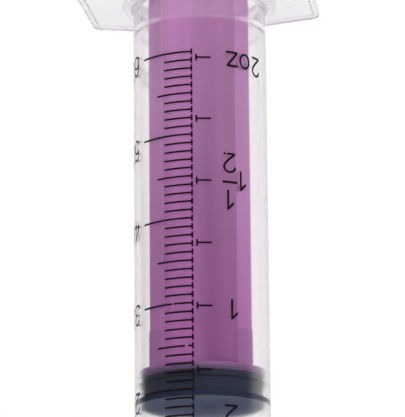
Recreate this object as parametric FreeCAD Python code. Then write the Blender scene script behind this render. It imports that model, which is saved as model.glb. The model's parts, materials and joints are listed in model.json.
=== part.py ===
import FreeCAD, Part
import math
import os

# A 60 mL enteral syringe: a clear moulded barrel, a ribbed plunger rod and the rubber stopper on its head.
# Millimetres. It stands on the plunger's thumb rest at z = 0, with the nozzle up along +Z.
# The finger flange's long axis lies along X.

# Barrel tube and its graduated scale
BORE_D = 26.5              # inside diameter, which sets the length of one millilitre
BARREL_WALL = 1.0
SCALE_ML = 60.0            # volume between the first and the last mark
SCALE_SETBACK = 14.2       # from the flange's nozzle side to the full mark
READING_ML = 19.3          # volume in front of the stopper as it stands

# Closed end of the barrel
SHOULDER_SLOPE = 15.0      # degrees, of the end wall inside and out
SHOULDER_WALL = 1.7
SHOULDER_EDGE_R = 1.8
END_SEAT = 0.2             # left between the stopper's edge and the end wall at the zero mark

# Finger flange
FLANGE_LENGTH = 50.1
FLANGE_END_WIDTH = 22.6
FLANGE_MID_D = 35.5        # round middle, which the sloping sides meet as tangents
FLANGE_CORNER_R = 2.5
FLANGE_T = 2.2
FLANGE_RIM_W = 1.3         # raised rim round the edge, on the plunger's side
FLANGE_RIM_H = 0.7
FLANGE_FILLET = 1.9        # where the tube leaves the flange
MOUTH_COLLAR_W = 1.0       # flat left round the mouth, inside the rim
MOUTH_LEAD = 0.6           # chamfer that leads the stopper in

# Bead inside the mouth that holds the rod's disc back
BEAD_SETBACK = 5.95        # from the flange's nozzle side to the bead's crest
BEAD_W = 1.8
BEAD_CLEARANCE = 0.05      # between the bead's crest and the wider rib ends, which pass it

# Nozzle: a socket with two thread lugs outside
NOZZLE_D = 8.8
NOZZLE_LENGTH = 12.5
NOZZLE_BASE_D = 12.0
NOZZLE_BASE_H = 1.6
NOZZLE_EDGE = 0.4          # chamfers at its mouth and on its base
SOCKET_D = 5.7
SOCKET_DEPTH = 9.5
OUTLET_D = 3.0
LUG_HEIGHT = 0.8
LUG_ROOT_W = 1.6
LUG_CREST_W = 0.8
LUG_PITCH = 5.0
LUG_TURN = 0.55            # part of a turn that each lug covers
LUG_STARTS = 2
LUG_SETBACK = 1.2          # from the nozzle's mouth to the lugs

# Plunger rod
THUMB_D = 33.0
THUMB_T = 2.4
THUMB_EDGE = 0.6           # chamfer of the edge towards the fingers
THUMB_FOOT = 0.3           # chamfer of the edge that it stands on
THUMB_GRIP_DS = (14.0, 22.0, 30.0)   # middle diameters of the raised grip rings
THUMB_GRIP_W = 1.4
THUMB_GRIP_H = 0.5
GRIP_GAP = 12.0            # between thumb rest and flange when the rod is pushed home
RIB_T = 4.0
RIB_TIP_R = 0.4
RIB_ROOT_R = 2.2
RIB_CLEARANCE = 0.38       # of the long ribs in the bore
RIB_TURN = 38.8            # degrees from the flange's long axis to the first rib
GUIDE_CLEARANCE = 0.2      # of the wider rib ends behind the disc
GUIDE_LENGTH = 7.7
DISC_CLEARANCE = 0.08
DISC_T = 1.6
DISC_EDGE = 0.3            # chamfer of its rear edge
NECK_D = 17.0
KNOB_D = 20.0
KNOB_T = 2.2
KNOB_EDGE = 0.6            # chamfer that leads the knob into the stopper

# Rubber stopper
STOPPER_LENGTH = 5.7
SEAL_CLEARANCE = 0.05      # of the sealing rings in the bore
REAR_RING_BACK = 1.36      # from the stopper's rear to the crest of its thin ring
REAR_RING_W = 0.7
FRONT_RING_BACK = 4.9      # from the stopper's rear to the middle of its thick ring
FRONT_RING_W = 1.1
WAIST_DEPTH = 0.7          # of the groove between the rings, below the bore
RING_FLANK = 0.35          # height over which a ring falls to the waist
FRONT_EDGE_R = 0.25
STOPPER_LIP_T = 1.2        # rubber that closes round the neck
KNOB_CLEARANCE = 0.05
PIP_D = 2.4
PIP_H = 1.6
PIP_EDGE = 0.4
PIP_OFFSET = 1.35
PIP_TURN = 172.0           # degrees from +X to the pip

# Modelling
FUSE_DEPTH = 0.3           # how far a feature reaches into the body it grows from
SAME_PLACE = 1e-4          # two measures closer than this are one place

# Worked out from the sizes above
BORE_R = BORE_D / 2
BARREL_R = BORE_R + BARREL_WALL
ML_HEIGHT = 1000.0 / (math.pi * BORE_R ** 2)
TRAVEL_IN = READING_ML * ML_HEIGHT
Z_MOUTH = THUMB_T + GRIP_GAP + TRAVEL_IN
Z_FLANGE_TOP = Z_MOUTH + FLANGE_T
Z_FULL_MARK = Z_FLANGE_TOP + SCALE_SETBACK
Z_ZERO_MARK = Z_FULL_MARK + SCALE_ML * ML_HEIGHT
Z_STOPPER_FRONT = Z_ZERO_MARK - TRAVEL_IN
Z_STOPPER_REAR = Z_STOPPER_FRONT - STOPPER_LENGTH
Z_DISC_FRONT = Z_STOPPER_REAR - KNOB_CLEARANCE
Z_DISC_REAR = Z_DISC_FRONT - DISC_T
SHOULDER_TAN = math.tan(math.radians(SHOULDER_SLOPE))
RIB_R = BORE_R - RIB_CLEARANCE
GUIDE_R = BORE_R - GUIDE_CLEARANCE
DISC_R = BORE_R - DISC_CLEARANCE
BEAD_R = GUIDE_R + BEAD_CLEARANCE

UP = FreeCAD.Vector(0, 0, 1)
ORIGIN = FreeCAD.Vector(0, 0, 0)


def point(radius, z):
    """A point of a turned profile, in the XZ plane."""
    return FreeCAD.Vector(radius, 0, z)


def turned(points):
    """The solid that a closed profile of (radius, z) points makes when it turns about Z."""
    corners = [point(radius, z) for radius, z in points]
    outline = Part.makePolygon(corners + corners[:1])
    return Part.Face(outline).revolve(ORIGIN, UP, 360)


def rod(radius, z_low, z_high):
    """A round rod on the axis between two heights."""
    return Part.makeCylinder(radius, z_high - z_low, point(0, z_low), UP)


def round_edges(solid, radius, at_radius, at_z):
    """Rounds the circular edges that lie at one radius and height."""
    edges = []
    for edge in solid.Edges:
        curve = edge.Curve
        if not isinstance(curve, Part.Circle):
            continue
        if abs(curve.Radius - at_radius) < SAME_PLACE and abs(curve.Center.z - at_z) < SAME_PLACE:
            edges.append(edge)
    return solid.makeFillet(radius, edges)


def flat(x, y):
    """A point of a plan at z = 0."""
    return FreeCAD.Vector(x, y, 0)


def flange_outline(inset):
    """The flange's plan, moved in by inset: straight ends, and sloping sides that touch a round middle."""
    end_x = FLANGE_LENGTH / 2 - inset
    middle_r = FLANGE_MID_D / 2 - inset
    # The outer outline sets the direction in which a side touches the middle, and the inset one keeps it.
    reach = math.hypot(FLANGE_LENGTH / 2, FLANGE_END_WIDTH / 2)
    touch = math.atan2(FLANGE_END_WIDTH, FLANGE_LENGTH) + math.acos(FLANGE_MID_D / 2 / reach)
    end_y = (middle_r - end_x * math.cos(touch)) / math.sin(touch)
    side_x = middle_r * math.cos(touch)
    side_y = middle_r * math.sin(touch)
    edges = []
    for way in (1, -1):
        near = flat(way * side_x, way * side_y)
        far = flat(-way * side_x, way * side_y)
        corner = flat(way * end_x, way * end_y)
        edges.append(Part.makeLine(flat(way * end_x, -way * end_y), corner))
        edges.append(Part.makeLine(corner, near))
        edges.append(Part.Arc(near, flat(0, way * middle_r), far).toShape())
        edges.append(Part.makeLine(far, flat(-way * end_x, way * end_y)))
    return Part.Wire(edges)


def upright_edges(solid):
    """The straight edges that run along Z."""
    found = []
    for edge in solid.Edges:
        start, end = edge.Vertexes[0].Point, edge.Vertexes[-1].Point
        aside = math.hypot(start.x - end.x, start.y - end.y)
        if isinstance(edge.Curve, Part.Line) and aside < SAME_PLACE and abs(start.z - end.z) > SAME_PLACE:
            found.append(edge)
    return found


def flange_prism(inset, z_low, z_high, corner_r):
    """The flange's plan as a prism with its four end corners rounded."""
    end_x = FLANGE_LENGTH / 2 - inset
    plate = Part.Face(flange_outline(inset)).extrude(point(0, z_high - z_low))
    plate.translate(point(0, z_low))
    corners = []
    for edge in upright_edges(plate):
        if abs(abs(edge.Vertexes[0].Point.x) - end_x) < SAME_PLACE:
            corners.append(edge)
    return plate.makeFillet(corner_r, corners)


def finger_flange():
    """The flange plate, with a shallow recess inside its rim on the plunger's side."""
    plate = flange_prism(0, Z_MOUTH, Z_FLANGE_TOP, FLANGE_CORNER_R)
    inner_r = max(FLANGE_CORNER_R - FLANGE_RIM_W, FLANGE_CORNER_R / 4)
    recess = flange_prism(FLANGE_RIM_W, Z_MOUTH, Z_MOUTH + FLANGE_RIM_H, inner_r)
    collar = rod(BARREL_R + MOUTH_COLLAR_W, Z_MOUTH, Z_MOUTH + FLANGE_RIM_H)
    return plate.cut(recess.cut(collar))


def barrel_shell():
    """The outside of tube, end wall and nozzle, solid throughout, and the height of the nozzle's mouth."""
    shoulder_z = Z_ZERO_MARK + END_SEAT
    base_r = NOZZLE_BASE_D / 2
    edge_z = shoulder_z + SHOULDER_WALL - BARREL_WALL * SHOULDER_TAN
    base_z = edge_z + (BARREL_R - base_r) * SHOULDER_TAN
    foot_z = base_z + NOZZLE_BASE_H
    tip_z = foot_z + NOZZLE_LENGTH
    nozzle_r = NOZZLE_D / 2
    body = turned([
        (0, Z_MOUTH),
        (BARREL_R, Z_MOUTH),
        (BARREL_R, edge_z),
        (base_r, base_z),
        (base_r, foot_z - NOZZLE_EDGE),
        (base_r - NOZZLE_EDGE, foot_z),
        (nozzle_r, foot_z),
        (nozzle_r, tip_z - NOZZLE_EDGE),
        (nozzle_r - NOZZLE_EDGE, tip_z),
        (0, tip_z),
    ])
    body = round_edges(body, SHOULDER_EDGE_R, BARREL_R, edge_z)
    return body, tip_z


def barrel_hollow(tip_z):
    """The space inside: bore with its bead, sloping end, outlet and socket."""
    shoulder_z = Z_ZERO_MARK + END_SEAT
    outlet_r = OUTLET_D / 2
    socket_r = SOCKET_D / 2
    crest_z = Z_FLANGE_TOP + BEAD_SETBACK
    throat_z = shoulder_z + (BORE_R - outlet_r) * SHOULDER_TAN
    hollow = turned([
        (0, Z_MOUTH),
        (BORE_R + MOUTH_LEAD, Z_MOUTH),
        (BORE_R, Z_MOUTH + 2 * MOUTH_LEAD),
        (BORE_R, shoulder_z),
        (outlet_r, throat_z),
        (outlet_r, tip_z - SOCKET_DEPTH),
        (socket_r, tip_z - SOCKET_DEPTH),
        (socket_r, tip_z - NOZZLE_EDGE),
        (socket_r + NOZZLE_EDGE, tip_z),
        (0, tip_z),
    ])
    # The bead's section is an arc over its width, closed inside the wall.
    low_z = crest_z - BEAD_W / 2
    high_z = crest_z + BEAD_W / 2
    foot_r = BORE_R + FUSE_DEPTH
    section = Part.Wire([
        Part.Arc(point(BORE_R, low_z), point(BEAD_R, crest_z), point(BORE_R, high_z)).toShape(),
        Part.makeLine(point(BORE_R, high_z), point(foot_r, high_z)),
        Part.makeLine(point(foot_r, high_z), point(foot_r, low_z)),
        Part.makeLine(point(foot_r, low_z), point(BORE_R, low_z)),
    ])
    bead = Part.Face(section).revolve(ORIGIN, UP, 360)
    return hollow.cut(bead)


def thread_lug(tip_z, turn):
    """One thread lug: a trapezoid swept up a helix round the nozzle, sunk a little into it."""
    root_r = NOZZLE_D / 2 - FUSE_DEPTH
    crest_r = NOZZLE_D / 2 + LUG_HEIGHT
    rise = LUG_PITCH * LUG_TURN
    low_z = tip_z - LUG_SETBACK - rise - LUG_ROOT_W / 2
    path = Part.makeHelix(LUG_PITCH, rise, root_r)
    path.translate(point(0, low_z))
    section = Part.makePolygon([
        point(root_r, low_z - LUG_ROOT_W / 2),
        point(crest_r, low_z - LUG_CREST_W / 2),
        point(crest_r, low_z + LUG_CREST_W / 2),
        point(root_r, low_z + LUG_ROOT_W / 2),
        point(root_r, low_z - LUG_ROOT_W / 2),
    ])
    lug = Part.Wire(path).makePipeShell([section], True, True)
    lug.rotate(ORIGIN, UP, turn)
    return lug


def make_barrel():
    """The barrel, moulded in one with its flange and nozzle."""
    body, tip_z = barrel_shell()
    body = body.fuse(finger_flange())
    body = round_edges(body, FLANGE_FILLET, BARREL_R, Z_FLANGE_TOP)
    for start in range(LUG_STARTS):
        body = body.fuse(thread_lug(tip_z, start * 360.0 / LUG_STARTS))
    return body.cut(barrel_hollow(tip_z)).removeSplitter()


def rib_web(tip_r, z_low, z_high):
    """One full-width web of the cross: a bar through the axis whose two tips are round and eased."""
    half = RIB_T / 2
    tip_x = math.sqrt(tip_r ** 2 - half ** 2)
    edges = []
    for way in (1, -1):
        low = flat(way * tip_x, -way * half)
        high = flat(way * tip_x, way * half)
        edges.append(Part.Arc(low, flat(way * tip_r, 0), high).toShape())
        edges.append(Part.makeLine(high, flat(-way * tip_x, way * half)))
    web = Part.Face(Part.Wire(edges)).extrude(point(0, z_high - z_low))
    web = web.makeFillet(RIB_TIP_R, upright_edges(web))
    web.translate(point(0, z_low))
    return web


def root_fillets(z_low, z_high):
    """The rounded inner corners of the cross: a square core less a round rod at each of its corners."""
    reach = RIB_T / 2 + RIB_ROOT_R
    height = z_high - z_low
    core = Part.makeBox(2 * reach, 2 * reach, height, FreeCAD.Vector(-reach, -reach, z_low))
    for side_x in (-1, 1):
        for side_y in (-1, 1):
            foot = FreeCAD.Vector(side_x * reach, side_y * reach, z_low)
            core = core.cut(Part.makeCylinder(RIB_ROOT_R, height, foot, UP))
    return core


def rod_cross():
    """The long ribs between thumb rest and disc, with their wider ends behind the disc."""
    z_low = THUMB_T - FUSE_DEPTH
    z_high = Z_DISC_REAR + FUSE_DEPTH
    cross = root_fillets(z_low, z_high)
    for turn in (0, 90):
        web = rib_web(RIB_R, z_low, z_high)
        web = web.fuse(rib_web(GUIDE_R, Z_DISC_REAR - GUIDE_LENGTH, z_high))
        web.rotate(ORIGIN, UP, turn)
        cross = cross.fuse(web)
    cross.rotate(ORIGIN, UP, RIB_TURN)
    return cross


def thumb_rest():
    """The round thumb rest, with raised grip rings that stand on z = 0."""
    edge_r = THUMB_D / 2
    profile = [(0, THUMB_GRIP_H)]
    for diameter in THUMB_GRIP_DS[:-1]:
        inner, outer = (diameter - THUMB_GRIP_W) / 2, (diameter + THUMB_GRIP_W) / 2
        profile += [(inner, THUMB_GRIP_H), (inner, 0), (outer, 0), (outer, THUMB_GRIP_H)]
    foot_inner = (THUMB_GRIP_DS[-1] - THUMB_GRIP_W) / 2
    profile += [
        (foot_inner, THUMB_GRIP_H),
        (foot_inner, 0),
        (edge_r - THUMB_FOOT, 0),
        (edge_r, THUMB_FOOT),
        (edge_r, THUMB_T - THUMB_EDGE),
        (edge_r - THUMB_EDGE, THUMB_T),
        (0, THUMB_T),
    ]
    return turned(profile)


def rod_head():
    """Disc, neck and the knob that the stopper snaps over."""
    lip_z = Z_STOPPER_REAR + STOPPER_LIP_T + KNOB_CLEARANCE
    neck_r = NECK_D / 2
    knob_r = KNOB_D / 2
    return turned([
        (0, Z_DISC_REAR),
        (DISC_R - DISC_EDGE, Z_DISC_REAR),
        (DISC_R, Z_DISC_REAR + DISC_EDGE),
        (DISC_R, Z_DISC_FRONT),
        (neck_r, Z_DISC_FRONT),
        (neck_r, lip_z),
        (knob_r, lip_z),
        (knob_r, lip_z + KNOB_T - KNOB_EDGE),
        (knob_r - KNOB_EDGE, lip_z + KNOB_T),
        (0, lip_z + KNOB_T),
    ])


def make_plunger():
    """The plunger rod, moulded in one from thumb rest to knob."""
    return thumb_rest().fuse(rod_cross()).fuse(rod_head()).removeSplitter()


def make_stopper():
    """The rubber stopper: two sealing rings outside, and inside the pocket that grips the knob."""
    waist_r = BORE_R - WAIST_DEPTH
    seal_r = BORE_R - SEAL_CLEARANCE
    rear = Z_STOPPER_REAR
    rear_low = rear + REAR_RING_BACK - REAR_RING_W / 2
    front_low = rear + FRONT_RING_BACK - FRONT_RING_W / 2
    front_high = rear + FRONT_RING_BACK + FRONT_RING_W / 2
    body = turned([
        (0, rear),
        (waist_r, rear),
        (waist_r, rear_low),
        (seal_r, rear_low + REAR_RING_W / 2),
        (waist_r, rear_low + REAR_RING_W),
        (waist_r, front_low - RING_FLANK),
        (seal_r, front_low),
        (seal_r, front_high),
        (seal_r - FRONT_EDGE_R, Z_STOPPER_FRONT),
        (0, Z_STOPPER_FRONT),
    ])
    pocket_low = rear + STOPPER_LIP_T
    neck_hole = rod(NECK_D / 2 + KNOB_CLEARANCE, rear, pocket_low)
    pocket = rod(KNOB_D / 2 + KNOB_CLEARANCE, pocket_low, pocket_low + KNOB_T + 2 * KNOB_CLEARANCE)
    pip_r = PIP_D / 2
    pip = turned([
        (0, Z_STOPPER_FRONT - FUSE_DEPTH),
        (pip_r, Z_STOPPER_FRONT - FUSE_DEPTH),
        (pip_r, Z_STOPPER_FRONT + PIP_H - PIP_EDGE),
        (pip_r - PIP_EDGE, Z_STOPPER_FRONT + PIP_H),
        (0, Z_STOPPER_FRONT + PIP_H),
    ])
    pip.translate(FreeCAD.Vector(PIP_OFFSET, 0, 0))
    pip.rotate(ORIGIN, UP, PIP_TURN)
    return body.fuse(pip).cut(neck_hole).cut(pocket)


def main():
    os.makedirs("parts", exist_ok=True)
    pieces = {
        "barrel": make_barrel(),
        "plunger": make_plunger(),
        "stopper": make_stopper(),
    }
    for node, shape in pieces.items():
        print(node, "solids", len(shape.Solids), "valid", shape.isValid(), "volume", round(shape.Volume, 1))
        shape.exportStep("parts/%s.step" % node)
    print("one millilitre", round(ML_HEIGHT, 4))
    print("full mark", round(Z_FULL_MARK, 3), "zero mark", round(Z_ZERO_MARK, 3))
    bead_top = Z_FLANGE_TOP + BEAD_SETBACK + BEAD_W / 2
    print("travel in", round(TRAVEL_IN, 3), "travel out", round(Z_DISC_REAR - bead_top, 3))


main()
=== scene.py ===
import contextlib
import json
import math

import bmesh
import bpy
from bpy.props import FloatProperty, FloatVectorProperty, PointerProperty
from mathutils import Matrix, Vector


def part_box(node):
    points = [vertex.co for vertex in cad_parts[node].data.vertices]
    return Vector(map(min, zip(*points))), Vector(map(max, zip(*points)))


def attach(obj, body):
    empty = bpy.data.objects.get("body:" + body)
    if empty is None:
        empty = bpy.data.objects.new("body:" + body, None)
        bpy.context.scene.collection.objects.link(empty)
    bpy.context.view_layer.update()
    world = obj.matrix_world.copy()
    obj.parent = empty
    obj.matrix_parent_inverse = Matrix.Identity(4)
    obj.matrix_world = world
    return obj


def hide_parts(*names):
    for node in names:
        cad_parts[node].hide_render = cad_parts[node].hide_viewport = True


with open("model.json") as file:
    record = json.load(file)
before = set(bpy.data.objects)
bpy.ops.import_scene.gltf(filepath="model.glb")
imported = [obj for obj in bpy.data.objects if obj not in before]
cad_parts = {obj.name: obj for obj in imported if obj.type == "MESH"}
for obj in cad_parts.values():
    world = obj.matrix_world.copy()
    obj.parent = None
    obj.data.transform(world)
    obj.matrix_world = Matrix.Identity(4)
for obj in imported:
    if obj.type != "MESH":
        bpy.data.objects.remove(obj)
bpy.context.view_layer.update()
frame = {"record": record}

bl_info = {
    "name": "Enteral Syringe",
    "version": (1, 0, 0),
    "blender": (4, 5, 0),
    "location": "View3D > Sidebar > Syringe",
    "description": "A 60 mL enteral syringe: clear barrel, purple plunger, rubber stopper and printed scales",
    "category": "Add Mesh",
}

MM = 0.001
BARREL_LOW, BARREL_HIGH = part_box("barrel")
STOPPER_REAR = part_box("stopper")[0].z
MOUNTS = {mount["name"]: mount["dims"] for mount in frame["record"]["mounts"]}
BARREL_R = MOUNTS["barrel_outside"]["r_mm"] * MM
SOCKET_R = MOUNTS["nozzle_socket"]["r_mm"] * MM

ROUND_STEPS = 192  # sides of a large round form
FINE_STEPS = 96  # sides of a small form
ARC_STEPS = 6  # steps of a rounded edge
LONG_ARC_STEPS = 12  # steps of a long, shallow one
LUG_STEPS = 36  # steps of a thread lug
ROOT_STEPS = 8  # steps of the rounding between two ribs
EDGE_STEPS = 3  # steps of the flange's rounded edges
SAME = 1e-6  # two places closer than this are one
SUNK = 0.3 * MM  # how far a form reaches into the one that it is joined to
SPARE = 1.0 * MM  # how far a cutting form stands out of what it cuts
STROKE_STEP = 0.4 * MM  # longest straight piece of a printed stroke
FLAG_DROP = 1.22 * MM  # from a printed one's top to the end of its flag
SHARP_ANGLE = math.radians(38)


def length(name, description, millimetres):
    """A size, given in millimetres, kept in metres and shown with its unit."""
    size = millimetres * MM
    return FloatProperty(name=name, description=description, default=size, unit="LENGTH", precision=5)


def angle(name, description, degrees):
    """An angle, given here in degrees."""
    return FloatProperty(name=name, description=description, default=math.radians(degrees), subtype="ANGLE")


def number(name, description, default):
    """A plain number."""
    return FloatProperty(name=name, description=description, default=default)


def colour(name, description, default):
    """A colour in linear light."""
    return FloatVectorProperty(
        name=name, description=description, default=default, subtype="COLOR", min=0, max=1)


class SYRINGE_PG_barrel(bpy.types.PropertyGroup):
    wall: length("Wall", "Thickness of the tube's wall", 1.0)
    mouth: length("Mouth", "Height of the open end", BARREL_LOW.z / MM)
    tip: length("Tip", "Height of the nozzle's mouth", BARREL_HIGH.z / MM)
    collar: length("Collar", "Flat left round the mouth", 1.0)
    lead: length("Lead", "Chamfer that leads the stopper in", 0.6)
    flange_length: length("Flange Length", "The flange from end to end", (BARREL_HIGH.x - BARREL_LOW.x) / MM)
    flange_middle: length("Flange Middle", "Diameter of the flange's round middle", 35.47)
    flange_end: length("Flange End", "Width of the flange's straight ends", 22.6)
    flange_corner: length("Flange Corner", "Radius of the flange's end corners", 2.5)
    flange_thick: length("Flange Thickness", "Thickness over the rim", 2.2)
    rim_width: length("Rim Width", "Width of the raised rim", 1.3)
    rim_depth: length("Rim Depth", "Depth of the recess inside the rim", 0.7)
    edge: length("Edge", "Rounding of the flange's outer edges", 0.3)
    fillet: length("Fillet", "Radius where the tube leaves the flange", 1.9)
    bead_setback: length("Bead Setback", "From the flange to the crest of the inner bead", 5.95)
    bead_width: length("Bead Width", "Width of the inner bead", 1.8)
    bead_height: length("Bead Height", "How far the bead stands into the bore", 0.08)
    shoulder_slope: angle("Shoulder Slope", "Slope of the end wall", 15)
    shoulder_wall: length("Shoulder Wall", "Thickness of the end wall", 1.7)
    shoulder_round: length("Shoulder Round", "Rounding of the tube's closed end", 1.8)
    base: length("Nozzle Base", "Diameter of the step below the nozzle", 12.0)
    base_height: length("Base Height", "Height of that step", 1.6)
    nozzle: length("Nozzle", "Outer diameter of the nozzle", 8.8)
    nozzle_length: length("Nozzle Length", "From the step to the nozzle's mouth", 12.5)
    nozzle_edge: length("Nozzle Edge", "Rounding at the nozzle's mouth", 0.4)
    socket_depth: length("Socket Depth", "Depth of the nozzle's socket", 9.5)
    outlet: length("Outlet", "Diameter of the hole below the socket", 3.0)
    lug_height: length("Lug Height", "How far a thread lug stands out", 0.8)
    lug_root: length("Lug Root", "Width of a lug at the nozzle", 1.6)
    lug_crest: length("Lug Crest", "Width of a lug at its crest", 0.8)
    lug_pitch: length("Lug Pitch", "Rise of a lug in one turn", 5.0)
    lug_turn: number("Lug Turn", "Part of a turn that a lug covers", 0.55)
    lug_setback: length("Lug Setback", "From the nozzle's mouth to the lugs", 1.2)


class SYRINGE_PG_plunger(bpy.types.PropertyGroup):
    thumb: length("Thumb Rest", "Diameter of the thumb rest", 33.0)
    thumb_thick: length("Thumb Thickness", "Thickness of the thumb rest", 2.4)
    thumb_round: length("Thumb Round", "Rounding of its edge towards the fingers", 0.8)
    foot_round: length("Foot Round", "Rounding of the edge that it stands on", 0.3)
    ring_first: length("First Ring", "Middle diameter of the smallest grip ring", 14.0)
    ring_step: length("Ring Step", "Growth in diameter from ring to ring", 8.0)
    ring_width: length("Ring Width", "Width of a grip ring", 1.4)
    ring_height: length("Ring Height", "Height of a grip ring", 0.5)
    ring_ease: length("Ring Ease", "How much narrower a grip ring is at its crest, on each side", 0.12)
    rib: length("Rib", "Thickness of a rib", 4.0)
    rib_tip: length("Rib Tip", "Rounding of a rib's edges", 0.4)
    rib_root: length("Rib Root", "Rounding between two ribs", 2.2)
    rib_turn: angle("Rib Turn", "From the flange's long side to the first rib", 38.8)
    rib_gap: length("Rib Gap", "Clearance of the ribs in the bore", 0.38)
    guide_gap: length("Guide Gap", "Clearance of the wider rib ends", 0.2)
    guide: length("Guide", "Length of the wider rib ends", 7.7)
    guide_step: length("Guide Step", "Length over which a rib widens", 0.05)
    disc_gap: length("Disc Gap", "Clearance of the head disc", 0.08)
    disc: length("Disc", "Thickness of the head disc", 1.6)
    disc_round: length("Disc Round", "Rounding of the head disc's edges", 0.3)
    neck: length("Neck", "Diameter of the neck", 17.0)
    knob: length("Knob", "Diameter of the knob", 20.0)
    knob_thick: length("Knob Thickness", "Thickness of the knob", 2.2)
    knob_round: length("Knob Round", "Rounding of the knob's front edge", 0.6)


class SYRINGE_PG_stopper(bpy.types.PropertyGroup):
    body: length("Length", "Length without the pip", 5.7)
    squeeze: length("Squeeze", "How far the rings press into the bore, so that no air shows between", 0.03)
    waist: length("Waist", "Depth of the groove between the rings", 0.7)
    rear_ring: length("Rear Ring", "From the rear to the thin ring's crest", 1.36)
    rear_width: length("Rear Width", "Width of the thin ring", 0.8)
    front_ring: length("Front Ring", "From the rear to the middle of the thick ring", 4.9)
    front_width: length("Front Width", "Width of the thick ring", 1.1)
    front_round: length("Front Round", "Rounding of the front edge", 0.25)
    lip: length("Lip", "Rubber that closes round the neck", 1.2)
    fit: length("Fit", "Clearance round the knob", 0.05)
    pip: length("Pip", "Diameter of the moulding pip", 2.4)
    pip_height: length("Pip Height", "How far the pip swells out", 0.7)
    pip_offset: length("Pip Offset", "From the axis to the pip", 1.35)
    pip_turn: angle("Pip Turn", "From the flange's long side to the pip", 172)


class SYRINGE_PG_print(bpy.types.PropertyGroup):
    line: length("Line", "Width of a mark's line", 0.41)
    stroke: length("Stroke", "Width of a line in the millilitre figures", 0.46)
    bold: length("Bold Stroke", "Width of a line in the ounce figures", 0.51)
    ink: length("Ink", "Half the thickness of the ink", 0.02)
    front: angle("Front", "Direction on the barrel that the scales are set out from", -98.38)
    lean: number("Lean", "How far the print leans round the barrel for each part of its height", 0.0022)
    full_setback: length("Full Setback", "From the flange to the 60 mL mark", 14.2)
    figure: length("Figure", "Height of a millilitre figure", 4.6)
    ounce_figure: length("Ounce Figure", "Height of an ounce figure", 4.45)
    small: length("Small Letter", "Height of a small letter", 3.5)


class SYRINGE_PG_colours(bpy.types.PropertyGroup):
    purple: colour("Purple", "Plunger", (0.43, 0.15, 0.40))
    # Painted shade, with a painted reflection of the dark rubber, on the head disc's edge.
    painted_rim_shade: colour("Rim", "Edge of the head disc, in the stopper's shade", (0.11, 0.068, 0.15))
    rubber: colour("Rubber", "Stopper", (0.012, 0.018, 0.040))
    # Painted light: the stopper's front face is paler than the rubber.
    face: colour("Face", "Paler front face of the stopper", (0.045, 0.074, 0.148))
    clear: colour("Clear", "Barrel", (0.996, 0.984, 0.992))
    haze: colour("Haze", "Milky cast of the barrel", (0.62, 0.60, 0.62))
    flange: colour("Flange", "Milky cast of the flange, where the plastic is thick", (0.9, 0.885, 0.93))
    shade: colour("Shade", "Light that the barrel lets through into its shadow", (0.95, 0.945, 0.95))
    ink: colour("Ink", "Printed scales", (0.003, 0.001, 0.003))
    floor: colour("Floor", "Floor near the syringe", (0.86, 0.86, 0.86))


class SYRINGE_PG_stage(bpy.types.PropertyGroup):
    azimuth: angle("Azimuth", "Direction that the camera looks from", -8)
    elevation: angle("Elevation", "Camera above the horizon", 14.885)
    roll: angle("Roll", "The syringe hangs nozzle down in the picture", 179.5015)
    distance: length("Distance", "From the camera to what it looks at", 693.0)
    aside: length("Aside", "Sideways shift of what it looks at", -0.2941)
    along: length("Along", "Height of what it looks at, from the 60 mL mark", 30.553)
    lens: number("Lens", "Focal length in millimetres", 281.23)
    sky: number("Sky", "Light from all round", 0.65)
    front: number("Front", "Brightness of the room in front, as the plastic mirrors it", 0.1)
    aslant: number("Aslant", "How far the mirrored room's front is turned to one side", 0.15)
    key: number("Key", "Light of the lamp from the photo's right, in watts", 0.46)
    fill: number("Fill", "Light of the lamp from the photo's left, in watts", 0.355)
    back: number("Back", "Light of the lamp behind, in watts", 0.3)
    beam: angle("Beam", "Spread of the lamps' light", 50)


def maths(operation, reflected=False):
    """One of Value's operators."""
    def operator(self, other):
        return self.shader.maths(operation, *((other, self) if reflected else (self, other)))
    return operator


class Value:
    """A shader value that takes part in Python sums: each sum adds one Math node."""

    def __init__(self, shader, socket):
        self.shader = shader
        self.socket = socket

    __add__ = maths("ADD")
    __radd__ = maths("ADD", reflected=True)
    __sub__ = maths("SUBTRACT")
    __rsub__ = maths("SUBTRACT", reflected=True)
    __mul__ = maths("MULTIPLY")
    __rmul__ = maths("MULTIPLY", reflected=True)
    __truediv__ = maths("DIVIDE")
    __rtruediv__ = maths("DIVIDE", reflected=True)
    __pow__ = maths("POWER")


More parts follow.
